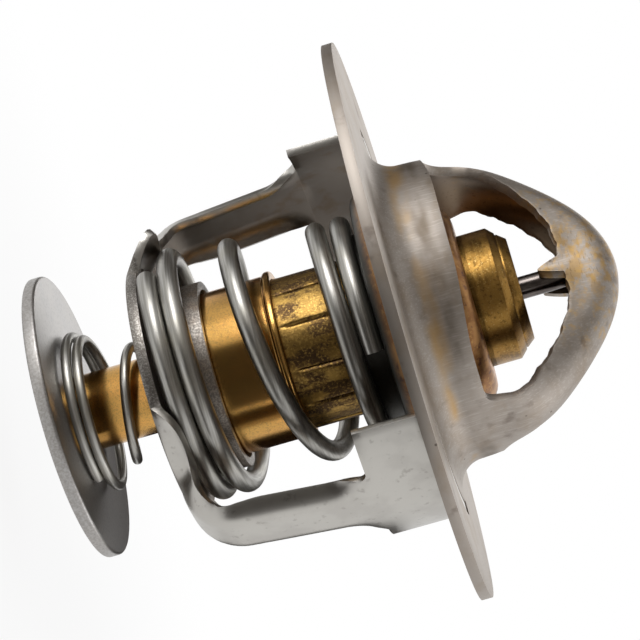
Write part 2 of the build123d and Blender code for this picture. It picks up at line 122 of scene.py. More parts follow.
def grid_faces(rows, columns, wrap_rows=False, wrap_columns=False):
    """Quads over a grid of vertices that is stored row by row."""
    faces = []
    for i in range(rows if wrap_rows else rows - 1):
        for j in range(columns if wrap_columns else columns - 1):
            i2, j2 = (i + 1) % rows, (j + 1) % columns
            faces.append((i * columns + j, i * columns + j2, i2 * columns + j2, i2 * columns + j))
    return faces


def piece(name, points, faces, finish, body, replaced, crease=32.0):
    """A finished mesh object from points in millimetres, riding on its body."""
    mesh = bpy.data.meshes.new(name)
    mesh.from_pydata((np.asarray(points, float) * MM).tolist(), [], faces)
    mesh.validate()
    mesh.polygons.foreach_set("use_smooth", [True] * len(mesh.polygons))
    mesh.set_sharp_from_angle(angle=radians(crease))
    mesh.materials.append(bpy.data.materials[finish])
    made = bpy.data.objects.new(name, mesh)
    bpy.context.scene.collection.objects.link(made)
    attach(made, body)
    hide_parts(*replaced)
    return made


def turned(name, corners, finish, body, replaced, segments=224, wobble=None):
    """A closed ring or solid turned about Z from its outline; wobble moves radius and height."""
    outline = rounded(list(corners) + [corners[0]])[:-1]
    angles = np.arange(segments) * 2 * pi / segments
    a, r = np.meshgrid(angles, outline[:, 0])
    z = np.meshgrid(angles, outline[:, 1])[1]
    if wobble is not None:
        r, z = wobble(r, z, a)
    points = np.stack((r * np.cos(a), r * np.sin(a), z), axis=-1).reshape(-1, 3)
    faces = grid_faces(len(outline), segments, True, True)
    made = piece(name, points, faces, finish, body, replaced)
    tidy_mesh(made)
    return made


def select_only(made):
    """Makes one object the active and only selected one, as the mesh tools need."""
    bpy.ops.object.select_all(action="DESELECT")
    bpy.context.view_layer.objects.active = made
    made.select_set(True)


def tidy_mesh(made, gap=1e-7):
    """Merges the points that fall together on the axis and turns all faces outwards."""
    select_only(made)
    bpy.ops.object.mode_set(mode="EDIT")
    bpy.ops.mesh.select_all(action="SELECT")
    bpy.ops.mesh.remove_doubles(threshold=gap)
    bpy.ops.mesh.dissolve_degenerate(threshold=gap)
    bpy.ops.mesh.select_all(action="SELECT")
    bpy.ops.mesh.normals_make_consistent(inside=False)
    bpy.ops.object.mode_set(mode="OBJECT")


def pressed(name, parts, gauge, finish, inside, body, replaced, edge):
    """A pressed sheet from its outer skin, an inner skin one gauge below it and sheared edges.

    parts holds (points, faces) pairs, and points that fall together become one. gauge gives the
    sheet's thickness at each point, finish and inside name the two sides' materials, and edge
    is the rounding of the sheared edges.
    """
    points = np.concatenate([p for p, f in parts])
    starts = np.cumsum([0] + [len(p) for p, f in parts[:-1]])
    faces = np.concatenate([np.asarray(f) + start for (p, f), start in zip(parts, starts)])
    first, index = np.unique(np.round(points, 3), axis=0, return_index=True,
                             return_inverse=True)[1:]
    points, faces = points[first], index.reshape(-1)[faces]
    a, b, c, d = (points[faces[:, k]] for k in range(4))
    normal = np.cross(c - a, d - b)
    spread = np.zeros_like(points)
    for k in range(4):
        np.add.at(spread, faces[:, k], normal)
    spread /= np.linalg.norm(spread, axis=1)[:, None]
    depth = gauge(points)[:, None]
    count = len(points)
    inner = points - spread * depth
    runs = {(face[k], face[(k + 1) % 4]) for face in faces.tolist() for k in range(4)}
    walls = [(q, p, p + count, q + count) for p, q in sorted(runs) if (q, p) not in runs]
    solid = faces.tolist() + (faces[:, ::-1] + count).tolist() + walls
    made = piece(name, np.concatenate((points, inner)), solid, finish, body, replaced, 50.0)
    made.data.materials.append(bpy.data.materials[inside])
    sides = np.zeros(len(solid), dtype=int)
    sides[len(faces):2 * len(faces)] = 1
    made.data.polygons.foreach_set("material_index", sides)
    select_only(made)
    bevel = made.modifiers.new("Sheared edge", "BEVEL")
    bevel.width = edge
    bevel.segments = 2
    bevel.limit_method = "ANGLE"
    bevel.angle_limit = radians(52)
    bpy.ops.object.modifier_apply(modifier=bevel.name)
    made.data.polygons.foreach_set("use_smooth", [True] * len(made.data.polygons))
    made.data.set_sharp_from_angle(angle=radians(50))
    return made


def off_axis(angles):
    """Degrees from each direction, given in radians, to the nearer end of the X axis."""
    turn = np.abs(np.degrees(np.arctan2(np.sin(angles), np.cos(angles))))
    return np.minimum(turn, 180 - turn)


def ease(t):
    """Eases from 0 to 1 with level ends."""
    t = np.clip(t, 0, 1)
    return t * t * (3 - 2 * t)


def spline(x, y, at):
    """Natural cubic spline through (x, y) rows, read at the given places."""
    x, y = np.asarray(x, float), np.asarray(y, float)
    gap = np.diff(x)
    slope = np.diff(y, axis=0) / gap[:, None]
    size = len(x)
    table = np.eye(size)
    right = np.zeros_like(y)
    for i in range(1, size - 1):
        table[i, i - 1:i + 2] = gap[i - 1], 2 * (gap[i - 1] + gap[i]), gap[i]
        right[i] = 6 * (slope[i] - slope[i - 1])
    bend = np.linalg.solve(table, right)
    k = np.clip(np.searchsorted(x, at) - 1, 0, size - 2)
    t = (at - x[k])[:, None]
    h = gap[k][:, None]
    return (y[k] + t * (slope[k] - h * (2 * bend[k] + bend[k + 1]) / 6)
            + t ** 2 * bend[k] / 2 + t ** 3 * (bend[k + 1] - bend[k]) / (6 * h))


# ------------------------------------------------------------------ settings a user may change
def length(label, about, value):
    """A length property given in millimetres."""
    return bpy.props.FloatProperty(name=label, description=about, default=value * MM, min=0.0,
                                   precision=5, unit="LENGTH", subtype="DISTANCE")


def tint(label, about, code):
    """A colour property given as an sRGB hex value."""
    return bpy.props.FloatVectorProperty(name=label, description=about, default=linear(code),
                                         size=3, min=0.0, max=1.0, subtype="COLOR")


class THERMOSTAT_PG_sizes(bpy.types.PropertyGroup):
    """Sizes of the visible pieces."""

    edge: length("Sheared edge", "Rounding of the sheared sheet edges", 0.12)
    main_wire: length("Main wire", "Wire diameter of the main spring", 1.95)
    bypass_wire: length("Bypass wire", "Wire diameter of the bypass spring", 0.98)
    crease: length("Crimp crease", "Depth of the creases in the crimped sleeve", 0.18)
    floor: length("Floor spread", "Half width of the studio floor", 1500.0)


class THERMOSTAT_PG_tints(bpy.types.PropertyGroup):
    """Base colours of the materials."""

    stainless: tint("Stainless", "Drawn stainless sheet of flange, neck and bow", "#a19991")
    cage: tint("Cage stainless", "Pressed stainless sheet of the cage", "#bab7b1")
    spring: tint("Spring steel", "Drawn spring wire", "#adaba6")
    copper: tint("Copper", "Drawn copper cup", "#d29c55")
    brass: tint("Crimped brass", "Tarnished crimped sleeve", "#a98748")
    turned: tint("Turned brass", "Turned and aged guide and cap", "#98733a")
    valve: tint("Valve sheet", "Brown heat-tinted valve plate", "#a87e52")
    disc: tint("Bypass disc", "Satin blanked disc", "#aca9a6")
    pin: tint("Pin steel", "Dark ground pin", "#6b6460")
    floor: tint("Floor", "Pale studio floor", "#f4f4f4")


# ------------------------------------------------------------------ materials
SLOTS = {
    "Stainless steel drawn": "stainless_pressing",
    "Stainless steel pressed": "stainless_cage",
    "Spring steel drawn wire": "spring_steel",
    "Copper drawn satin": "copper_cup",
    "Brass crimped tarnished": "crimped_brass",
    "Brass turned aged": "turned_brass",
    "Steel sheet heat tinted": "brown_valve_sheet",
    "Steel blanked satin": "disc_steel",
    "Steel ground dark": "pin_steel",
    "Steel riveted": "rivet_steel",
    "Wax cast": "wax",
}


def add(tree, kind, links=None, **settings):
    """Adds one shader node; settings name its properties, links its inputs' values or sources."""
    node = tree.nodes.new(kind)
    for key, value in settings.items():
        setattr(node, key, value)
    for key, value in (links or {}).items():
        if isinstance(value, bpy.types.NodeSocket):
            tree.links.new(value, node.inputs[key])
        else:
            node.inputs[key].default_value = value
    return node


def surface_finish(name, base, roughness, layers, grain, metallic=1.0):
    """A finish from its base colour and roughness and a list of surface layers.

    A layer has a kind (noise, rings, lines or specks), its size (mm of one blotch), stretch
    along X, Y and Z, low and high levels of the pattern between which it fades in, a colour, its
    strength, and what it adds to the roughness. within holds (axis, start, full) rows in mm: the
    layer comes in where the radius, the height or the width off the middle goes from start to
    full. grain is the size and the depth in mm of the fine bumps. A real surface's grain is
    finer than the render shows, so sizes under 0.3 mm are as coarse as they need to be to show.
    """
    mat = bpy.data.materials.new(name)
    mat.use_nodes = True
    tree = mat.node_tree
    tree.nodes.clear()
    place = add(tree, "ShaderNodeTexCoord").outputs["Object"]
    mm = add(tree, "ShaderNodeVectorMath", {0: place, 1: (1000, 1000, 1000)},
             operation="MULTIPLY").outputs["Vector"]
    flat = add(tree, "ShaderNodeVectorMath", {0: mm, 1: (1, 1, 0)}, operation="MULTIPLY")
    radius = add(tree, "ShaderNodeVectorMath", {0: flat.outputs["Vector"]},
                 operation="LENGTH").outputs["Value"]
    apart = add(tree, "ShaderNodeSeparateXYZ", {"Vector": mm}).outputs
    width = add(tree, "ShaderNodeMath", {0: apart["Y"]}, operation="ABSOLUTE").outputs[0]
    axes = {"radius": radius, "height": apart["Z"], "width": width}
    colour = (*base, 1)
    rough = roughness
    for n, layer in enumerate(layers):
        size = layer["size"]
        kind = layer.get("kind", "noise")
        stretch = layer.get("stretch", (1, 1, 1))
        offset = (17.3 * n + 3.1, 9.7 * n, 5.9 * n)
        scaled = add(tree, "ShaderNodeVectorMath",
                     {0: mm, 1: tuple(1 / (size * s) for s in stretch), 2: offset},
                     operation="MULTIPLY_ADD").outputs["Vector"]
        if kind == "noise":
            level = add(tree, "ShaderNodeTexNoise",
                        {"Vector": scaled, "Scale": 1.0, "Detail": layer.get("detail", 3.0),
                         "Roughness": layer.get("mix", 0.55)}).outputs["Fac"]
        elif kind == "rings":
            outward = add(tree, "ShaderNodeMath", {0: radius, 1: 1 / size},
                          operation="MULTIPLY").outputs[0]
            level = add(tree, "ShaderNodeTexNoise",
                        {"Vector": scaled, "W": outward, "Scale": 1.0, "Detail": 3.0},
                        noise_dimensions="4D").outputs["Fac"]
        elif kind == "lines":
            section = add(tree, "ShaderNodeCombineXYZ", {"X": radius, "Y": apart["Z"]})
            fine = add(tree, "ShaderNodeVectorMath",
                       {0: section.outputs["Vector"], 1: (1 / size,) * 3},
                       operation="MULTIPLY").outputs["Vector"]
            drawn = add(tree, "ShaderNodeVectorMath", {0: mm, 1: (0.12,) * 3, 2: fine},
                        operation="MULTIPLY_ADD").outputs["Vector"]
            level = add(tree, "ShaderNodeTexNoise",
                        {"Vector": drawn, "Scale": 1.0, "Detail": 2.0}).outputs["Fac"]
        else:
            level = add(tree, "ShaderNodeTexVoronoi", {"Vector": scaled, "Scale": 1.0},
                        feature="F1").outputs["Distance"]
        mask = add(tree, "ShaderNodeMapRange",
                   {"Value": level, "From Min": layer["low"], "From Max": layer["high"],
                    "To Min": 0.0, "To Max": layer["strength"]},
                   interpolation_type="SMOOTHSTEP").outputs["Result"]
        for axis, begin, full in layer.get("within", ()):
            gate = add(tree, "ShaderNodeMapRange",
                       {"Value": axes[axis], "From Min": begin, "From Max": full},
                       interpolation_type="SMOOTHSTEP").outputs["Result"]
            mask = add(tree, "ShaderNodeMath", {0: mask, 1: gate},
                       operation="MULTIPLY").outputs[0]
        colour = add(tree, "ShaderNodeMix",
                     {"Factor": mask, "A": colour, "B": (*linear(layer["colour"]), 1)},
                     data_type="RGBA").outputs["Result"]
        if "rough" in layer:
            rough = add(tree, "ShaderNodeMath", {0: mask, 1: layer["rough"], 2: rough},
                        operation="MULTIPLY_ADD").outputs[0]
    scaled = add(tree, "ShaderNodeVectorMath", {0: mm, 1: (1 / grain[0],) * 3},
                 operation="MULTIPLY").outputs["Vector"]
    bumps = add(tree, "ShaderNodeTexNoise",
                {"Vector": scaled, "Scale": 1.0, "Detail": 2.0}).outputs["Fac"]
    bump = add(tree, "ShaderNodeBump",
               {"Height": bumps, "Strength": 1.0, "Distance": grain[1] * MM})
    shader = add(tree, "ShaderNodeBsdfPrincipled",
                 {"Base Color": colour, "Roughness": rough, "Metallic": metallic,
                  "Normal": bump.outputs["Normal"]})
    add(tree, "ShaderNodeOutputMaterial", {"Surface": shader.outputs["BSDF"]})


def drawn_stainless(tints):
    """Deep-drawn stainless sheet of flange, neck and bow.

    Its die side is satin with faint draw marks, brown lubricant stains and a golden heat tint at
    the apex, with a golden band painted round the neck's fillet as a reflection. The side that lay
    on the punch is duller and brown with baked lubricant.
    """
    surface_finish("Stainless steel drawn", tints.stainless, 0.54, [
        dict(size=1.1, stretch=(1, 1, 5), low=0.46, high=0.66, colour="#8c8278", strength=0.35,
             within=(("radius", 17.5, 16.0),)),
        dict(size=3.2, stretch=(1.6, 1.6, 0.8), low=0.44, high=0.74, detail=5.0,
             colour="#8a775f", strength=0.42),
        dict(size=0.16, stretch=(1, 1, 12), low=0.50, high=0.70, colour="#cfc8c0",
             strength=0.25, rough=0.06, within=(("radius", 17.5, 16.0),)),
        # painted reflection: a patchy golden band round the neck's concave fillet stands in for its highlights
        dict(size=8.0, stretch=(1, 1, 0.5), low=0.42, high=0.62, colour="#b08d55", strength=0.7,
             within=(("height", 1.9, 2.9), ("height", 4.4, 3.2), ("radius", 17.0, 15.5))),
        dict(size=8.0, stretch=(1, 1, 0.5), low=0.40, high=0.62, colour="#5c5041", strength=0.7,
             within=(("height", 3.3, 4.2), ("height", 5.6, 4.7), ("radius", 13.0, 14.0))),
        dict(size=2.2, stretch=(1, 1, 0.5), low=0.48, high=0.60, colour="#a5854f", strength=0.7,
             within=(("radius", 6.5, 3.0), ("height", 12.0, 14.0))),
        dict(size=0.9, low=0.48, high=0.64, detail=7.0, mix=0.7, colour="#bf9a58", strength=0.5,
             within=(("radius", 10.5, 8.0), ("height", 12.0, 14.0))),
        dict(size=0.14, stretch=(6, 1, 1), low=0.56, high=0.70, colour="#4b3c2c", strength=0.4,
             within=(("radius", 5.0, 3.0), ("height", 12.0, 14.0))),
        dict(size=2.4, low=0.58, high=0.74, detail=5.0, colour="#5a4a3e", strength=0.45),
        dict(kind="specks", size=2.1, low=0.08, high=0.04, colour="#453931", strength=0.7),
    ], grain=(0.10, 0.004))
    surface_finish("Stainless steel drawn inside", tints.stainless, 0.36, [
        dict(size=6.0, low=0.10, high=0.45, colour="#6a5946", strength=0.9,
             within=(("height", 1.0, 5.0),)),
        dict(size=2.2, low=0.54, high=0.68, colour="#8d7040", strength=0.5,
             within=(("height", 2.0, 6.0),)),
        dict(size=0.3, low=0.58, high=0.70, colour="#3f342a", strength=0.4),
    ], grain=(0.12, 0.004))


def pressed_stainless(tints):
    """Pressed stainless sheet of the cage.

    It is plain satin with faint blotches, and the ring's drawn neck and sheared rim have a torn,
    granular grey face. The inside of the legs is duller and painted darker as shade, with some brown.
    """
    surface_finish("Stainless steel pressed", tints.cage, 0.33, [
        dict(size=3.5, low=0.45, high=0.65, colour="#a9a5a0", strength=0.4, rough=0.05),
        dict(size=0.8, low=0.60, high=0.72, colour="#837d77", strength=0.4),
        dict(size=0.20, low=0.30, high=0.60, colour="#6b6661", strength=0.6, rough=0.25,
             within=(("radius", 9.7, 9.2),)),
        dict(size=0.16, low=0.15, high=0.60, colour="#57504a", strength=0.85, rough=0.15,
             within=(("height", -22.2, -22.5), ("radius", 11.2, 11.6), ("width", 8.6, 9.4))),
    ], grain=(0.12, 0.004))
    # painted shade: the inside faces are a darker copy of the cage's sheet, darkened over most of their area
    surface_finish("Stainless steel pressed inside painted shade", tints.cage, 0.42, [
        dict(size=6.0, low=0.10, high=0.45, colour="#877d73", strength=0.85),
        dict(size=2.6, low=0.52, high=0.70, colour="#7d6449", strength=0.4),
        dict(size=0.18, low=0.35, high=0.62, colour="#55504b", strength=0.6, rough=0.2,
             within=(("radius", 9.7, 9.2),)),
    ], grain=(0.12, 0.006))


def spring_wire(tints):
    """Spring steel drawn through a die: grey and bright, with fine lines along the wire."""
    surface_finish("Spring steel drawn wire", tints.spring, 0.36, [
        dict(kind="lines", size=0.16, low=0.42, high=0.62, colour="#75726a", strength=0.5),
        dict(size=3.0, low=0.46, high=0.66, colour="#aaa597", strength=0.35, rough=0.05),
    ], grain=(0.12, 0.003))


def drawn_copper(tints):
    """Deep-drawn copper of the cup: a warm satin mirror with a fine speckle of dark oxide."""
    surface_finish("Copper drawn satin", tints.copper, 0.17, [
        dict(size=5.0, stretch=(1, 1, 2), low=0.40, high=0.60, colour="#b5914f", strength=0.6,
             rough=0.04),
        dict(size=0.16, low=0.46, high=0.62, colour="#90764a", strength=0.45, rough=0.06),
        dict(kind="specks", size=1.6, low=0.06, high=0.03, colour="#4a3420", strength=0.6),
    ], grain=(0.10, 0.004))


def crimped_brass(tints):
    """Crimped brass of the sleeve: brown tarnish in blotches along it, bright where rubbed."""
    surface_finish("Brass crimped tarnished", tints.brass, 0.38, [
        dict(size=3.0, stretch=(1, 1, 2.0), low=0.44, high=0.58, detail=6.0, mix=0.62,
             colour="#7d6337", strength=0.65),
        dict(size=1.6, stretch=(1, 1, 2.2), low=0.47, high=0.57, detail=8.0, mix=0.68,
             colour="#46342a", strength=0.85, rough=0.12),
        dict(size=0.5, low=0.54, high=0.66, detail=5.0, mix=0.65, colour="#3b2c22",
             strength=0.55, rough=0.1),
        dict(size=0.22, low=0.50, high=0.66, detail=4.0, colour="#cfa95e", strength=0.55),
    ], grain=(0.16, 0.014))


def turned_brass(tints):
    """Turned brass of guide and cap: fine turning rings, browned by heat."""
    surface_finish("Brass turned aged", tints.turned, 0.34, [
        dict(size=3.2, low=0.44, high=0.60, colour="#5c431f", strength=0.75),
        dict(kind="rings", size=0.22, stretch=(60, 60, 1), low=0.45, high=0.62,
             colour="#a98443", strength=0.3, rough=0.06),
        dict(size=0.3, low=0.54, high=0.68, colour="#3b2a12", strength=0.5, rough=0.08),
        dict(size=0.16, low=0.56, high=0.70, colour="#d0b070", strength=0.4),
    ], grain=(0.12, 0.007))


def tinted_sheet(tints):
    """Heat-tinted steel sheet of the valve: rust orange over purple brown, with painted shade on its collar."""
    surface_finish("Steel sheet heat tinted", tints.valve, 0.40, [
        dict(size=1.8, low=0.42, high=0.58, colour="#80583a", strength=0.7),
        dict(size=0.9, low=0.56, high=0.66, colour="#553a3c", strength=0.65),
        dict(size=0.4, low=0.55, high=0.68, colour="#c2965c", strength=0.55, rough=0.1),
        # painted shade: the collar inside the spring's head, under the plate, is painted dark grey
        dict(size=6.0, low=0.10, high=0.20, colour="#4b4a46", strength=1.0,
             within=(("height", -0.5, -1.6),)),
    ], grain=(0.15, 0.008))


def plain_steels(tints):
    """Blanked disc, ground pin and riveted washer.

    The disc has a satin face and a granular sheared edge, the pin is dark and smooth with faint
    streaks along it, and the washer is lightly blotched where the rivet's punch met it.
    """
    surface_finish("Steel blanked satin", tints.disc, 0.36, [
        dict(size=5.0, low=0.42, high=0.62, colour="#a5a3a2", strength=0.6),
        dict(size=0.25, low=0.50, high=0.66, colour="#8a8885", strength=0.4, rough=0.08),
        dict(size=0.22, low=0.35, high=0.62, colour="#85807a", strength=0.45, rough=0.15,
             within=(("radius", 13.5, 13.7),)),
    ], grain=(0.12, 0.005))
    surface_finish("Steel ground dark", tints.pin, 0.24, [
        dict(size=0.8, stretch=(1, 1, 3), low=0.45, high=0.62, colour="#3c3532", strength=0.7),
    ], grain=(0.1, 0.002))
    surface_finish("Steel riveted", linear("#a9a7a5"), 0.32, [
        dict(size=1.5, low=0.45, high=0.62, colour="#8a8886", strength=0.6),
    ], grain=(0.1, 0.004))


def fillings():
    """What fills the element: cast wax, pale and slightly greasy.
    """
    surface_finish("Wax cast", linear("#ddd6bd"), 0.45, [
        dict(size=3.0, low=0.40, high=0.65, colour="#cfc6a8", strength=0.6),
    ], grain=(0.3, 0.004), metallic=0.0)


class THERMOSTAT_OT_materials(bpy.types.Operator):
    """Makes the finishes of the thermostat and gives the CAD nodes theirs"""

    bl_idname = "thermostat.materials"
    bl_label = "Materials"

    def execute(self, context):
        tints = context.scene.thermostat_tints
        for make in (drawn_stainless, pressed_stainless, spring_wire, drawn_copper,
                     crimped_brass, turned_brass, tinted_sheet, plain_steels):
            make(tints)
        fillings()
        finishes = {slot: name for name, slot in SLOTS.items()}
        used = {row["node"]: row["material_slot"] for row in frame["record"]["subparts"]}
        for node, obj in frame["nodes"].items():
            if used[node] in finishes:
                obj.data.materials.clear()
                obj.data.materials.append(bpy.data.materials[finishes[used[node]]])
        return {"FINISHED"}


# ------------------------------------------------------------------ flange pressing and cage
# sizes in millimetres and degrees; the bow's two feet stand on the X axis
FLANGE_RADIUS = reach("seat_flange")[1][0]
BOW_HEIGHT = reach("seat_flange")[1][2]
GAUGE = 1.0                     # sheet of the flange
BOW_GAUGE = 0.92                # the drawn bow is a little thinner
SLOT = (17.75, 19.05)           # radii of the slots that hold the cage's tongues
SLOT_ANGLE = 28.5               # half of the arc that a slot takes
NECK_RADIUS = 14.33
NECK_FILLET = 2.6
RIM = (14.2, 5.7)               # radius and height of the neck's sheared rim
RIM_RISE = 0.7                  # the rim stands higher between the bow's feet
FOOT_SHARES = np.linspace(-1, 1, 29)    # columns across the bow, from edge to edge
FOOT_ANGLE = 13.5               # half of the rim's arc under each bow foot
FOOT_ENDS = (19.6, 33.25)       # where the foot's sweeps reach the rim, narrow and wide side
CORNER_RISE = 2.8               # the sweeps are quarter ovals of this height
EAR_LENGTH = 2.2                # the ears hang from the apex beside the pin
EAR_HALF = 1.8
# the bow from its foot to its crown: distance from the axis, height, lean inwards, radius and
# half angle of the arc across it, and the straight flank beyond the arc
BOW = ((*RIM, 0, RIM[0], FOOT_ANGLE, 0.0), (14.17, 7.2, 1, 12.0, 16.0, 0.2),
       (14.21, 8.2, 3, 9.0, 20.5, 0.3), (13.5, 11.0, 24, 5.5, 36, 0.4),
       (11.5, 13.9, 41, 3.8, 53, 0.7), (8.8, 16.6, 46, 3.0, 68, 1.1),
       (5.4, 19.1, 60, 2.5, 80, 1.9), (0, BOW_HEIGHT, 90, 2.05, 89, 3.0))


def flange_skin():
    """Upper face of the flange, its fillet and the outside of the neck, with the two slots."""
    # the columns under the bow's feet are the bow's own, and the rest lie evenly between them
    foot = FOOT_SHARES * np.where(FOOT_SHARES < 0, *FOOT_ENDS)
    side = np.linspace(FOOT_ENDS[1] + 1.25, 180 - FOOT_ENDS[0] - 1.4, 62)
    angles = np.radians(np.concatenate((foot, side, foot + 180, side + 180)))
    face = [(r, GAUGE, 0) for r in (FLANGE_RADIUS, 23, 20, SLOT[1], 18.4, SLOT[0])]
    neck = [(NECK_RADIUS, GAUGE, NECK_FILLET), (NECK_RADIUS, 3.7, 0), (14.28, 4.7, 0), (*RIM, 0)]
    outline = rounded(face + neck, 7.0)
    r, z = outline[:, 0][:, None], outline[:, 1][:, None]
    window = ease((off_axis(angles) - 34) / 40)
    z = z + RIM_RISE * window * np.clip((z - 3.6) / 2.1, 0, 1)
    points = np.stack((r * np.cos(angles), r * np.sin(angles), z), axis=-1).reshape(-1, 3)
    faces = []
    for corners in grid_faces(len(outline), len(angles), False, True):
        x, y = np.mean(points[list(corners), :2], axis=0)
        if SLOT[0] < hypot(x, y) < SLOT[1] and off_axis(np.arctan2(y, x)) < SLOT_ANGLE:
            continue
        faces.append(corners)
    return points, faces


def bow_skin():
    """Outside of the bow, from the rim over the pin and down to the rim again."""
    left = [(-x, z, 180 - lean, r, a, f) for x, z, lean, r, a, f in reversed(BOW[:-1])]
    stations = np.array(list(BOW) + left, float)
    steps = np.hypot(np.diff(stations[:, 0]), np.diff(stations[:, 1]))
    run = np.concatenate(([0], np.cumsum(steps)))
    half = run[len(BOW) - 1]
    # rows lie close together in the foot's sweep and round the ears
    near = np.concatenate((np.linspace(0, 1, 16) ** 2 * CORNER_RISE,
                           np.arange(CORNER_RISE + 0.4, half - 2.2, 0.4),
                           np.linspace(half - 2.0, half, 20)))
    at = np.concatenate((near, 2 * half - near[-2::-1]))
    rows = spline(run, stations, at)
    rows[0], rows[-1] = stations[0], stations[-1]
    points = []
    for place, (x, z, lean, radius, angle, flank) in zip(at, rows):
        above = min(place, 2 * half - place)
        sweep = 0.0
        if above < CORNER_RISE:
            sweep = 1 - sqrt(1 - (1 - above / CORNER_RISE) ** 2)
        ends = FOOT_ENDS if place < half else FOOT_ENDS[::-1]
        flare = sweep * RIM[0] * np.radians(np.where(FOOT_SHARES < 0, *ends) - FOOT_ANGLE)
        ear = EAR_LENGTH * max(0.0, 1 - (x / EAR_HALF) ** 2) ** 0.7
        # away from the feet and the ears the sheared edge wanders a little
        chips = 0.07 * sin(2.1 * place) + 0.04 * sin(4.7 * place + 1.0)
        flank += chips * min(1.0, max(0.0, (above - 3.0) / 2.0)) * (ear == 0)
        arc = radius * radians(angle) + flare
        across = FOOT_SHARES * (arc + max(flank, 0) + ear)
        inside = np.minimum(np.abs(across), arc)
        beyond = np.abs(across) - inside
        turn = inside / radius
        down = radius * (1 - np.cos(turn)) + beyond * np.sin(turn)
        wide = np.sign(across) * (radius * np.sin(turn) + beyond * np.cos(turn))
        out = (cos(radians(lean)), sin(radians(lean)))
        for depth, y in zip(down, wide):
            points.append((x - depth * out[0], y, z - depth * out[1]))
    return np.array(points), grid_faces(len(at), len(FOOT_SHARES))


PLATE = reach("cage")[0][2]     # lower face of the cage's ring plate
PLATE_RADIUS = 12.0
COLLAR_RADIUS = 8.27            # inside of the neck drawn up from the ring plate
COLLAR_TOP = -17.5
TAB_RADIUS = reach("cage")[1][0]
TAB_FOOT = -6.3
TAB_ANGLE = 30                  # half of the arc that a tab takes
TONGUE_ANGLE = 20               # and of its tongue, which goes up into the flange's slot
ROOT_ANGLE = 50.0               # half of the ring plate's arc that a leg grows from
LEG_SHARES = np.linspace(-1, 1, 31)     # columns across a leg, from edge to edge
LEG_FLAT = 1.25                 # half of the channel's flat back
LEG_CORNER = 2.6                # bend from the back into the channel's sides
LEG_TURN = 62                   # and the angle that it turns through
# half width of the leg's strip at distances from its root, and near the tab
LEG_WIDTHS = ((0, 5.2), (2.0, 4.5), (4.0, 4.0), (5.4, 3.8), (7.2, 4.15), (9.5, 4.4))
LEG_WIDTH_TOP = (4.4, 4.5)
ROOT_LIP = (1.2, 2.2)           # the root's edges curl up, more on its wide side
ROOT_FLARE = (1.1, 3.2)         # and outwards
ROOT_SHOULDER = 1.0             # above the root the wide side is wider by this


def leg_section(half_length, flatten):
    """Across and depth of the leg's section, its bends eased into the tab's own curve."""
    fine = np.linspace(0, np.max(half_length), 121)
    bends = 1 / LEG_CORNER * ((fine > LEG_FLAT)
                              & (fine < LEG_FLAT + LEG_CORNER * radians(LEG_TURN)))
    bends = bends * (1 - flatten) + flatten / TAB_RADIUS
    step = fine[1] - fine[0]
    turn = np.concatenate(([0], np.cumsum((bends[1:] + bends[:-1]) / 2 * step)))
    wide = np.concatenate(([0], np.cumsum((np.cos(turn[1:]) + np.cos(turn[:-1])) / 2 * step)))
    deep = np.concatenate(([0], np.cumsum((np.sin(turn[1:]) + np.sin(turn[:-1])) / 2 * step)))
    at = np.abs(LEG_SHARES) * half_length
    return np.sign(LEG_SHARES) * np.interp(at, fine, wide), np.interp(at, fine, deep)


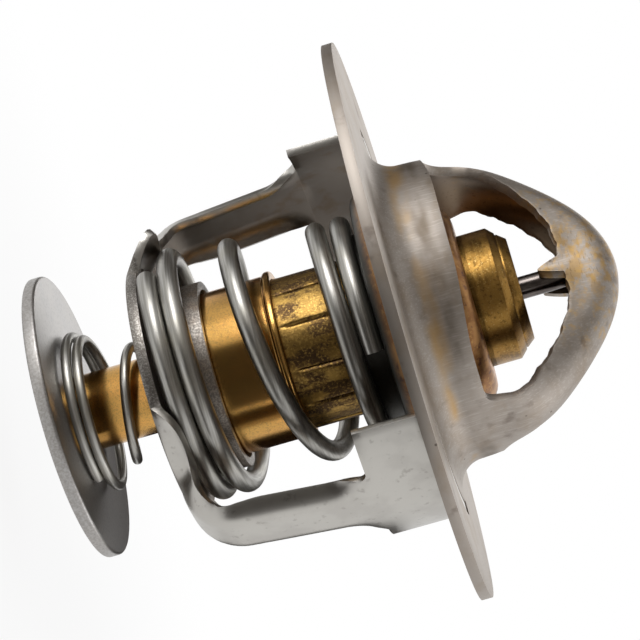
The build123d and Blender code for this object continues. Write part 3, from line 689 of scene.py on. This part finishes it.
def leg_skin():
    """Outside of one leg, from the ring plate's edge to the lower edge of its tab."""
    path = rounded([(PLATE_RADIUS + 0.9, PLATE + 0.12, 0), (17.35, PLATE + 0.95, 5.4),
                    (18.75, -8.4, 6.0), (TAB_RADIUS, TAB_FOOT, 0)], 5.0)
    steps = np.hypot(*np.diff(path, axis=0).T)
    run = np.concatenate(([0], np.cumsum(steps)))
    length = run[-1]
    # rows lie close together in the root's bend and in the corner under the tab
    at = np.concatenate((np.linspace(0, 8.0, 24), np.linspace(8.6, length - 3.4, 14),
                         length - 1.3 * np.linspace(1.65, 0, 14) ** 1.6))
    u = np.interp(at, run, path[:, 0])
    z = np.interp(at, run, path[:, 1])
    du, dz = np.gradient(u, at), np.gradient(z, at)
    size = np.hypot(du, dz)
    du, dz = du / size, dz / size
    du[-1], dz[-1] = 0, 1
    places, widths = zip(*LEG_WIDTHS)
    half = np.interp(at, (*places, length - 4, length), (*widths, *LEG_WIDTH_TOP))
    rows = []
    for k, place in enumerate(at):
        above = length - place
        flare = 0.0
        if above < 1.0:
            flare = 1.0 - sqrt(1.0 - (1.0 - above) ** 2)
        flat = float(ease(1 - above / 4.0)) + 0.45 * float(ease(1 - place / 5.5))
        shoulder = ROOT_SHOULDER * ease(1 - (place - 3.0) / 5.0) * (LEG_SHARES > 0)
        wide, deep = leg_section(half[k] + flare + shoulder, min(flat, 1.0))
        rows.append(np.stack((u[k] - deep * dz[k], wide, z[k] + deep * du[k]), axis=1))
    # the root blends the ring plate's rim into the leg's first row, and its edges curl up
    spread = np.radians(LEG_SHARES * ROOT_ANGLE)
    rim = np.stack((PLATE_RADIUS * np.cos(spread), PLATE_RADIUS * np.sin(spread),
                    np.full_like(spread, PLATE)), axis=1)
    chord = rows[0] - rim
    span = np.linalg.norm(chord, axis=1)[:, None]
    start = chord * (1, 1, 0)
    end = 0.4 * chord * (1, 1, 0.5) + 0.6 * span * np.array((1, 0, 0))
    flare, rise = (np.where(LEG_SHARES < 0, *sides) for sides in (ROOT_FLARE, ROOT_LIP))
    lip = np.stack((flare * np.cos(spread), flare * np.sin(spread), rise), axis=1)
    lip *= np.abs(LEG_SHARES)[:, None] ** 6
    root = []
    for t in np.linspace(0, 1, 13)[:-1]:
        root.append((2 * t ** 3 - 3 * t ** 2 + 1) * rim + (t ** 3 - 2 * t ** 2 + t) * start
                    + (3 * t ** 2 - 2 * t ** 3) * rows[0] + (t ** 3 - t ** 2) * end
                    + sin(pi * t ** 0.65) ** 1.5 * lip)
    rows = root + rows
    return np.concatenate(rows), grid_faces(len(rows), len(LEG_SHARES)), rows[-1]


def tab_rows(angles, levels):
    """Rows of points on the outside of a tab, one row for each level."""
    return np.stack([np.stack((TAB_RADIUS * np.cos(angles), TAB_RADIUS * np.sin(angles),
                               np.full_like(angles, level)), axis=1) for level in levels])


def cage_skin():
    """Lower face of the ring plate with its drawn neck, the two legs, tabs and tongues."""
    leg, leg_faces, top = leg_skin()
    top_angles = np.arctan2(top[:, 1], top[:, 0])
    edge = np.degrees(top_angles[-1])
    wings = np.radians(np.concatenate((np.linspace(edge, TONGUE_ANGLE, 4)[1:],
                                       np.linspace(TONGUE_ANGLE, TAB_ANGLE, 5)[1:])))
    angles = np.concatenate((-wings[::-1], top_angles, wings))
    tab = tab_rows(angles, np.linspace(TAB_FOOT, 0, 8))
    tab[0, len(wings):len(wings) + len(top)] = top
    middle = angles[np.abs(angles) <= radians(TONGUE_ANGLE + 0.01)]
    tongue = tab_rows(middle, (0, 0.5, 0.97))
    parts = []
    for turn in (1, -1):
        flip = np.array((turn, turn, 1))
        parts.append((leg * flip, leg_faces))
        parts.append((tab.reshape(-1, 3) * flip, grid_faces(*tab.shape[:2])))
        parts.append((tongue.reshape(-1, 3) * flip, grid_faces(*tongue.shape[:2])))
    foot = LEG_SHARES * ROOT_ANGLE
    side = np.linspace(ROOT_ANGLE, 180 - ROOT_ANGLE, 34)[1:-1]
    around = np.radians(np.concatenate((foot, side, foot + 180, side + 180)))
    outline = rounded([(PLATE_RADIUS, PLATE, 0), (11, PLATE, 0), (10, PLATE, 0),
                       (COLLAR_RADIUS, PLATE, 1.0), (COLLAR_RADIUS, -19.5, 0),
                       (COLLAR_RADIUS, COLLAR_TOP, 0)], 9.0)
    r, z = outline[:, 0][:, None], outline[:, 1][:, None]
    ring = np.stack((r * np.cos(around), r * np.sin(around), z + 0 * around), axis=-1)
    faces = [face[::-1] for face in grid_faces(len(outline), len(around), False, True)]
    parts.append((ring.reshape(-1, 3), faces))
    return parts


class THERMOSTAT_OT_pressings(bpy.types.Operator):
    """Makes the flange with its neck and bow, and the cage"""

    bl_idname = "thermostat.pressings"
    bl_label = "Flange and cage"

    def execute(self, context):
        edge = context.scene.thermostat_sizes.edge

        def flange_gauge(points):
            return np.interp(points[:, 2], (RIM[1], 8.0), (GAUGE, BOW_GAUGE))

        def cage_gauge(points):
            away = np.hypot(points[:, 0], points[:, 1])
            return np.interp(away, (8.3, 9.0, PLATE_RADIUS, 14.0), (0.8, 1.0, 1.0, 0.75))

        pressed("flange_neck_and_bow", [flange_skin(), bow_skin()], flange_gauge,
                "Stainless steel drawn", "Stainless steel drawn inside", "frame",
                ["seat_flange"], edge)
        pressed("cage_frame", cage_skin(), cage_gauge, "Stainless steel pressed",
                "Stainless steel pressed inside painted shade", "frame", ["cage"], edge)
        return {"FINISHED"}


# ------------------------------------------------------------------ turned and drawn pieces
# sizes in millimetres
SEAT = 0.03                     # gap between pieces that rest on each other
CUP_BOTTOM = -22.6              # drawn up into the cage's neck
CUP_RADIUS = 7.9
LIP_RADIUS, CUP_LIP = reach("wax_cup")[1][0], reach("wax_cup")[1][2]
NOSE_END = reach("wax_cup")[0][2]
NOSE_RADIUS = 3.67
NOSE_TIP = 3.0                  # reduced tip that the washer is riveted on
CAVITY_RADIUS = 7.1
BORE_RADIUS = 2.87              # bore of the nose
SLEEVE_RADIUS = reach("crimp_sleeve")[1][0]
SLEEVE_LEVELS = (-12.3, CUP_LIP, -10.5, -10.1, -9.7, -8.5, -7, -5.5, -4, -2.5, -1, 1, 3, 5, 5.5)
SLEEVE_TOP = 6.04
CREASE_ANGLES = (-106.5, -76.5, -41.8, -12.8, 19.0, 52.0, 84.0, 117.0, 151.0, -175.0, -141.0)
BOSS_RADIUS = 6.35
BOSS_TOP = reach("guide_body")[1][2]
BOSS_CHAMFER = (5.65, 9.75)     # inner radius and lower level
CAP_RADIUS, CAP_TOP = reach("gland_cap")[1][0], reach("gland_cap")[1][2]
CAP_SEAT = 9.0
CAP_CHAMFER = (0.64, 0.78)      # inwards and down
PIN_RADIUS, PIN_TOP = reach("piston_pin")[1][0], reach("piston_pin")[1][2]
PIN_BOTTOM = reach("piston_pin")[0][2]
PIN_GAP = 0.05                  # round the pin in guide and cap
VALVE_SHEET = 0.9
HUB_RADIUS = 9.5                # raised hub of the valve plate
HUB_TOP = reach("valve_plate")[1][2]
VALVE_RADIUS = reach("valve_plate")[1][0]
VALVE_LOW = reach("valve_plate")[0][2]
VALVE_LIP = 0.598               # height of the flared lip's outer corner
VALVE_SLANT = 0.636             # thickness along each axis where the lip is flared at 45 degrees
VALVE_COLLAR = (9.22, -3.95)    # outside and lower end of the collar in the spring's head
DISC_RADIUS, DISC_TOP = reach("bypass_disc")[1][0], reach("bypass_disc")[1][2]
DISC_LOW = reach("bypass_disc")[0][2]
WASHER_RADIUS, WASHER_TOP = reach("rivet_washer")[1][0], reach("rivet_washer")[1][2]


def cup_outline():
    """Outline of the hollow cup with its nose, from the nose's end outside to its bore."""
    return [(0, NOSE_END, 0), (NOSE_TIP, NOSE_END, 0.15), (NOSE_TIP, NOSE_END + 0.5, 0),
            (NOSE_RADIUS, NOSE_END + 0.5, 0.1), (NOSE_RADIUS, CUP_BOTTOM, 0.35),
            (CUP_RADIUS, CUP_BOTTOM, 1.2), (CUP_RADIUS, CUP_LIP - 0.75, 0.25),
            (LIP_RADIUS, CUP_LIP - 0.7, 0.25), (LIP_RADIUS, CUP_LIP, 0.3),
            (SLEEVE_RADIUS + 0.02, CUP_LIP, 0.2), (SLEEVE_RADIUS + 0.02, -12.8, 0),
            (CAVITY_RADIUS, -13.1, 0), (CAVITY_RADIUS, CUP_BOTTOM + 0.8, 0.3),
            (BORE_RADIUS, CUP_BOTTOM + 0.8, 0), (BORE_RADIUS, NOSE_END + 1.3, 0),
            (0, NOSE_END + 1.3, 0)]


def wax_outline():
    """Outline of the wax, a twentieth of a millimetre inside the cup's cavity and bore."""
    low, step = NOSE_END + 1.35, CUP_BOTTOM + 0.85
    return [(0, low, 0), (BORE_RADIUS - 0.05, low, 0), (BORE_RADIUS - 0.05, step, 0),
            (CAVITY_RADIUS - 0.05, step, 0.3), (CAVITY_RADIUS - 0.05, -13.15, 0),
            (0, -13.15, 0)]


def valve_outline():
    """Outline of the valve plate: hub, rim, sealing flank and the collar in the spring's head."""
    hole, inside = BOSS_RADIUS + 0.02, HUB_RADIUS - VALVE_SHEET
    under, rim = HUB_TOP - VALVE_SHEET, VALVE_LOW + VALVE_SHEET
    edge, tip = VALVE_RADIUS - VALVE_SLANT, VALVE_LIP + VALVE_SLANT
    return [(hole, under, 0), (hole, HUB_TOP, 0.08), (HUB_RADIUS, HUB_TOP, 1.8),
            (HUB_RADIUS, rim, 0.4), (edge - (tip - rim), rim, 0.5), (edge, tip, 0.1),
            (VALVE_RADIUS, VALVE_LIP, 0.1),
            (VALVE_RADIUS - (VALVE_LIP - VALVE_LOW), VALVE_LOW, 0.8),
            (VALVE_COLLAR[0], VALVE_LOW, 0.1), (*VALVE_COLLAR, 0.15),
            (inside, VALVE_COLLAR[1], 0.15), (inside, under, 0.9)]


class THERMOSTAT_OT_element(bpy.types.Operator):
    """Makes the cup, its wax, the sleeve, guide and cap of the wax element"""

    bl_idname = "thermostat.element"
    bl_label = "Wax element"

    def execute(self, context):
        depth = context.scene.thermostat_sizes.crease / MM

        def creased(r, z, a):
            outside = np.clip((r - 7.0) / 0.3, 0, 1)
            ends = np.clip((z - CUP_LIP - 0.2) / 0.8, 0, 1) * np.clip((5.9 - z) / 1.0, 0, 1)
            dip = 0 * r
            for n, mark in enumerate(CREASE_ANGLES):
                # a narrow hollow, and one side of it laps over the next stretch of sheet
                off = (np.degrees(a) - mark + 0.35 * np.sin(z * 0.7 + n) + 180) % 360 - 180
                dip += (1.3 + 0.5 * sin(5.3 * n)) * np.exp(-(off / 1.1) ** 2)
                lap = off if n % 2 else -off
                dip += 0.55 * np.exp(-np.clip(lap, 0, None) / 5.0) * (lap > 0)
            return r - depth * dip * outside * ends, z

        turned("wax_cup_shell", cup_outline(), "Copper drawn satin", "element", ["wax_cup"])
        turned("wax_charge_fill", wax_outline(), "Wax cast", "element", ["wax_charge"], 96)
        turned("crimp_sleeve_skin", [
            *((SLEEVE_RADIUS, z, 0) for z in SLEEVE_LEVELS), (SLEEVE_RADIUS, SLEEVE_TOP, 0.2),
            (6.64, SLEEVE_TOP, 0), (6.64, SLEEVE_LEVELS[0], 0)],
            "Brass crimped tarnished", "element", ["crimp_sleeve"], 900, creased)
        bore = PIN_RADIUS + PIN_GAP
        turned("guide_boss", [
            (bore, 7.4, 0), (BOSS_RADIUS, 7.4, 0), (BOSS_RADIUS, 6.06, 0), (6.57, 6.06, 0),
            (6.57, 6.0, 0), (BOSS_RADIUS, 6.0, 0), (BOSS_RADIUS, BOSS_CHAMFER[1], 0.12),
            (BOSS_CHAMFER[0], BOSS_TOP, 0.12), (CAP_RADIUS, BOSS_TOP, 0),
            (CAP_RADIUS, CAP_SEAT, 0), (bore, CAP_SEAT, 0)],
            "Brass turned aged", "element", ["guide_body"])
        side = CAP_RADIUS - 0.02
        turned("gland_cap_ring", [
            (bore, CAP_SEAT + 0.05, 0), (side, CAP_SEAT + 0.05, 0),
            (side, CAP_TOP - CAP_CHAMFER[1], 0.15), (CAP_RADIUS - CAP_CHAMFER[0], CAP_TOP, 0.15),
            (3.1, CAP_TOP, 0.1), (2.9, CAP_TOP - 0.15, 0.1), (1.6, CAP_TOP - 0.15, 0.1),
            (bore, CAP_TOP - 0.4, 0)],
            "Brass turned aged", "element", ["gland_cap"])
        return {"FINISHED"}


class THERMOSTAT_OT_valves(bpy.types.Operator):
    """Makes the main valve plate, the bypass disc, its rivet washer and the pin"""

    bl_idname = "thermostat.valves"
    bl_label = "Valves and pin"

    def execute(self, context):
        turned("piston_pin_rod", [
            (0, PIN_BOTTOM, 0), (PIN_RADIUS, PIN_BOTTOM, 0.1), (PIN_RADIUS, PIN_TOP, 0.9),
            (0, PIN_TOP, 0)],
            "Steel ground dark", "frame", ["piston_pin"], 96)
        turned("valve_plate_hat", valve_outline(), "Steel sheet heat tinted", "element",
               ["valve_plate"], 256)
        hole, recess, step = NOSE_RADIUS + 0.05, WASHER_RADIUS + 0.3, WASHER_TOP + SEAT
        turned("bypass_disc_plate", [
            (hole, DISC_TOP, 0.08), (DISC_RADIUS, DISC_TOP, 0.3), (DISC_RADIUS, DISC_LOW, 0.2),
            (recess, DISC_LOW, 0.08), (recess, step, 0), (hole, step, 0)],
            "Steel blanked satin", "bypass", ["bypass_disc"], 256)
        turned("rivet_washer_ring", [
            (NOSE_TIP, WASHER_TOP, 0), (WASHER_RADIUS, WASHER_TOP, 0.08),
            (WASHER_RADIUS, NOSE_END, 0.12), (NOSE_TIP, NOSE_END, 0.08)],
            "Steel riveted", "element", ["rivet_washer"], 128)
        return {"FINISHED"}


# ------------------------------------------------------------------ springs
# main spring: angles in degrees, turns counted from the foot on the cage
MAIN_FOOT_SEAT = PLATE + 1.0
MAIN_TURNS = 4.48
MAIN_START = 0.29               # the wire's cut end lies this far round from the count's start
MAIN_CLOSED = 1.45              # closed turns at the foot
MAIN_OPEN = 2.0
MAIN_END = -45.5                # direction of the cut end at the head
MAIN_LEAN = 124.5               # the open turns stand 1 mm higher on this side
MAIN_OFF = -145.5               # and the foot stands off the axis this way
MAIN_SETTLED = 0.57             # the closed foot lies lower by this, its cut end on the cage
# bypass spring: wound the other way, turns counted from the foot on the disc
CUP_SEAT = -24.5                # level of the cup's bottom that the CAD spring reaches
BYPASS_TURNS = 3.2
BYPASS_CLOSED = 1.35
BYPASS_OPEN = 1.3


def wire(name, path, diameter, body, replaced, sides=26):
    """A round spring wire swept along a path, with flat cut ends."""
    ahead = np.gradient(path, axis=0)
    ahead /= np.linalg.norm(ahead, axis=1)[:, None]
    across = np.cross(ahead, (0, 0, 1))
    across /= np.linalg.norm(across, axis=1)[:, None]
    up = np.cross(across, ahead)
    angles = np.arange(sides) * 2 * pi / sides
    last = len(path) - 1
    stops = [(0, 0.0), (0, 0.88), (0, 0.97)] + [(i, 1.0) for i in range(1, last)]
    stops += [(last, 0.97), (last, 0.88), (last, 0.0)]
    rings = []
    for i, share in stops:
        r = diameter / 2 * share
        rings.append(path[i] + r * (np.cos(angles)[:, None] * across[i]
                                    + np.sin(angles)[:, None] * up[i]))
    made = piece(name, np.concatenate(rings), grid_faces(len(rings), sides, False, True),
                 "Spring steel drawn wire", body, replaced, 50.0)
    tidy_mesh(made)
    return made


def main_spring_path(gauge):
    """Middle line of the main spring: closed ends, a foot off the axis and turns that lean."""
    low, high = MAIN_FOOT_SEAT + gauge / 2 + SEAT, VALVE_LOW - gauge / 2 - SEAT
    done = np.linspace(MAIN_START, MAIN_TURNS, 520)
    part = np.clip((done - MAIN_CLOSED) / MAIN_OPEN, 0, 1)
    angle = np.radians(MAIN_END + 360 * (done - MAIN_TURNS))
    lean = np.sin(pi * part) ** 2 * np.cos(angle - radians(MAIN_LEAN))
    pitch = gauge + SEAT
    settled = MAIN_SETTLED * (1 - ease((done - MAIN_CLOSED) / 0.9))
    z = low + pitch * done + (high - low - pitch * MAIN_TURNS) * ease(part) + lean - settled
    r = 11.25 - 0.95 * ease(part * 1.5)
    off = 0.75 * (1 - part) + 0.2 * np.sin(pi * part) ** 2
    return np.stack((r * np.cos(angle) + off * cos(radians(MAIN_OFF)),
                     r * np.sin(angle) + off * sin(radians(MAIN_OFF)), z), axis=1)


def bypass_spring_path(gauge):
    """Middle line of the bypass spring, wound in towards its head inside the cage's neck."""
    low, high = DISC_TOP + gauge / 2 + SEAT, CUP_SEAT - gauge / 2 - SEAT
    done = np.linspace(0, BYPASS_TURNS, 360)
    pitch = gauge + SEAT
    z = (low + pitch * np.minimum(done, BYPASS_CLOSED)
         + (high - low - pitch * BYPASS_CLOSED) * ease((done - BYPASS_CLOSED) / BYPASS_OPEN)
         + (CUP_BOTTOM - CUP_SEAT) * ease((done - 2.45) / 0.55))
    r = 7.4 - 2.5 * ease((done - 1.0) / (BYPASS_TURNS - 1.85))
    angle = -2 * pi * done
    return np.stack((r * np.cos(angle), r * np.sin(angle), z), axis=1)


class THERMOSTAT_OT_springs(bpy.types.Operator):
    """Makes the main spring and the bypass spring, each riding on its body"""

    bl_idname = "thermostat.springs"
    bl_label = "Springs"

    def execute(self, context):
        gauge = context.scene.thermostat_sizes.main_wire / MM
        coil = wire("main_spring_wire", main_spring_path(gauge), gauge, "frame", ["main_spring"])
        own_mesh(coil)
        gauge = context.scene.thermostat_sizes.bypass_wire / MM
        coil = wire("bypass_spring_wire", bypass_spring_path(gauge), gauge, "element",
                    ["bypass_spring"], 20)
        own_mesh(coil)
        return {"FINISHED"}


# ------------------------------------------------------------------ studio
# softboxes: place, aim, side length in metres, watts
LAMPS = (
    ("Key softbox", (-0.066, -0.135, -0.003), (0, 0, -0.012), 0.07, 0.105),
    ("Fill softbox", (0.26, 0.20, 0.22), (0, 0, -0.005), 0.25, 0.25),
    ("Back softbox", (-0.22, 0.24, 0.22), (0, 0, -0.005), 0.22, 0.22),
)
# dull cloths and curtains that only reflections see, so that metal turned their way goes dark:
# name, start and end in degrees about Z, colour, outline of distance and height in metres
CURTAINS = (
    ("cloth_front", -92, -4, "#514d49", ((0.032, 0.001), (0.30, 0.001))),
    ("curtain_front", -112, -26, "#9a958f",
     ((0.30, 0.002), (0.42, 0.002), (0.42, 0.45), (0.05, 0.57))),
    ("curtain_back", -212, -152, "#6f6a65",
     ((0.10, 0.001), (0.42, 0.001), (0.42, 0.33), (0.25, 0.45))),
    ("cloth_disc", 48, 126, "#2e2722", ((0.028, 0.001), (0.036, 0.026))),
)
FLOOR_GAP = 0.0002              # metres between the floor and the open valve's nose
WHITE_FROM = (0.035, 0.11)      # metres from the middle over which the floor turns to white
# camera to world: columns are right, up, back and the camera's place in metres
CAMERA = Matrix(((0.182344, -0.798494, 0.573723, 0.119624),
                 (0.224556, -0.534264, -0.814946, -0.174054),
                 (0.957249, 0.277433, 0.081887, 0.009810),
                 (0, 0, 0, 1)))
FOCAL_LENGTH = 126.07           # millimetres, on a 36 mm wide sensor


def stage_mesh(name, points, faces, material):
    """A mesh object of the studio, in metres, which isn't part of the thermostat."""
    mesh = bpy.data.meshes.new(name)
    mesh.from_pydata(points, [], faces)
    mesh.materials.append(material)
    made = bpy.data.objects.new(name, mesh)
    bpy.context.scene.collection.objects.link(made)
    return made


def matt_paper(colour):
    """Matt white paper of the floor: shaded near the part, and white to the eye further out.

    The camera and gloss see its plain white level, the lamps' light falls on the paper.
    """
    mat = bpy.data.materials.new("Paper backdrop matt")
    mat.use_nodes = True
    tree = mat.node_tree
    tree.nodes.clear()
    paper = add(tree, "ShaderNodeBsdfDiffuse", {"Color": (*colour, 1)})
    white = add(tree, "ShaderNodeEmission", {"Color": (1, 1, 1, 1), "Strength": 1.0})
    rays = add(tree, "ShaderNodeLightPath").outputs
    seen = add(tree, "ShaderNodeMath", {0: rays["Is Camera Ray"], 1: rays["Is Glossy Ray"]},
               operation="MAXIMUM").outputs[0]
    place = add(tree, "ShaderNodeTexCoord").outputs["Object"]
    away = add(tree, "ShaderNodeVectorMath", {0: place}, operation="LENGTH").outputs["Value"]
    far = add(tree, "ShaderNodeMapRange",
              {"Value": away, "From Min": WHITE_FROM[0], "From Max": WHITE_FROM[1],
               "To Min": 0.85}, interpolation_type="SMOOTHSTEP").outputs["Result"]
    share = add(tree, "ShaderNodeMath", {0: far, 1: seen}, operation="MULTIPLY").outputs[0]
    cover = add(tree, "ShaderNodeMixShader", {0: share, 1: paper.outputs[0], 2: white.outputs[0]})
    add(tree, "ShaderNodeOutputMaterial", {"Surface": cover.outputs[0]})
    return mat


def dull_cloth(name, code):
    """Woven cloth with no sheen, for one curtain."""
    mat = bpy.data.materials.new(name + " cloth dull")
    mat.use_nodes = True
    tree = mat.node_tree
    tree.nodes.clear()
    cloth = add(tree, "ShaderNodeBsdfDiffuse", {"Color": (*linear(code), 1)})
    add(tree, "ShaderNodeOutputMaterial", {"Surface": cloth.outputs[0]})
    return mat


def light_room():
    """World: an even room light, and plain white to the camera, in gloss and through glass."""
    world = bpy.data.worlds.new("Studio")
    bpy.context.scene.world = world
    world.use_nodes = True
    tree = world.node_tree
    tree.nodes.clear()
    rays = add(tree, "ShaderNodeLightPath").outputs
    either = add(tree, "ShaderNodeMath", {0: rays["Is Camera Ray"], 1: rays["Is Glossy Ray"]},
                 operation="MAXIMUM").outputs[0]
    seen = add(tree, "ShaderNodeMath", {0: either, 1: rays["Is Transmission Ray"]},
               operation="MAXIMUM").outputs[0]
    room = add(tree, "ShaderNodeBackground", {"Color": (1, 1, 1, 1), "Strength": 0.6})
    white = add(tree, "ShaderNodeBackground", {"Color": (1, 1, 1, 1), "Strength": 1.0})
    mix = add(tree, "ShaderNodeMixShader", {0: seen, 1: room.outputs[0], 2: white.outputs[0]})
    add(tree, "ShaderNodeOutputWorld", {"Surface": mix.outputs[0]})


class THERMOSTAT_OT_stage(bpy.types.Operator):
    """Makes the floor, the curtains, the soft lights, the world and the camera"""

    bl_idname = "thermostat.stage"
    bl_label = "Studio"

    def execute(self, context):
        scene = context.scene
        half = scene.thermostat_sizes.floor
        level = CAD_BOX[0][2]
        below = level - TRAVEL["valve_lift"] * MM - FLOOR_GAP
        stage_mesh("studio_floor", [(-half, -half, below), (half, -half, below),
                                    (half, half, below), (-half, half, below)],
                   [(0, 1, 2, 3)], matt_paper(scene.thermostat_tints.floor))
        for name, start, end, shade, rows in CURTAINS:
            turn = np.radians(np.linspace(start, end, 25))
            points = [(r * cos(a), r * sin(a), level + z) for r, z in rows for a in turn]
            curtain = stage_mesh(name, points, grid_faces(len(rows), len(turn)),
                                 dull_cloth(name, shade))
            curtain.visible_camera = False
            curtain.visible_diffuse = False
            curtain.visible_shadow = False
        light_room()
        for name, place, aim, size, power in LAMPS:
            lamp = bpy.data.lights.new(name, "AREA")
            lamp.shape = "SQUARE"
            lamp.size = size
            lamp.energy = power
            holder = bpy.data.objects.new(name, lamp)
            scene.collection.objects.link(holder)
            holder.location = place
            holder.visible_camera = False
            look = Vector(aim) - Vector(place)
            holder.rotation_euler = look.to_track_quat("-Z", "Y").to_euler()
        lens = bpy.data.cameras.new("Camera")
        lens.lens = FOCAL_LENGTH
        lens.sensor_width = 36.0
        lens.clip_start = 0.01
        lens.clip_end = 20.0
        camera = bpy.data.objects.new("Camera", lens)
        scene.collection.objects.link(camera)
        camera.matrix_world = CAMERA
        scene.camera = camera
        scene.view_settings.view_transform = "Standard"
        return {"FINISHED"}


class THERMOSTAT_PT_panel(bpy.types.Panel):
    """Lists the steps that build the thermostat"""

    bl_idname = "THERMOSTAT_PT_panel"
    bl_label = "Engine Thermostat"
    bl_space_type = "VIEW_3D"
    bl_region_type = "UI"
    bl_category = "Thermostat"

    def draw(self, context):
        layout = self.layout
        for settings in (context.scene.thermostat_sizes, context.scene.thermostat_tints):
            for key in settings.__annotations__:
                layout.prop(settings, key)
        for step in STEPS:
            layout.operator(step.bl_idname)


STEPS = (THERMOSTAT_OT_materials, THERMOSTAT_OT_pressings, THERMOSTAT_OT_element,
         THERMOSTAT_OT_valves, THERMOSTAT_OT_springs, THERMOSTAT_OT_stage)
CLASSES = (THERMOSTAT_PG_sizes, THERMOSTAT_PG_tints, *STEPS, THERMOSTAT_PT_panel)


def register():
    """Registers the classes and the two groups of settings."""
    for cls in CLASSES:
        bpy.utils.register_class(cls)
    bpy.types.Scene.thermostat_sizes = bpy.props.PointerProperty(type=THERMOSTAT_PG_sizes)
    bpy.types.Scene.thermostat_tints = bpy.props.PointerProperty(type=THERMOSTAT_PG_tints)


def unregister():
    """Takes the settings and the classes away again."""
    del bpy.types.Scene.thermostat_tints
    del bpy.types.Scene.thermostat_sizes
    for cls in reversed(CLASSES):
        bpy.utils.unregister_class(cls)


def main():
    """Builds the thermostat and its studio."""
    register()
    bpy.ops.thermostat.materials()
    bpy.ops.thermostat.pressings()
    bpy.ops.thermostat.element()
    bpy.ops.thermostat.valves()
    bpy.ops.thermostat.springs()
    bpy.ops.thermostat.stage()


if __name__ == "__main__":
    main()
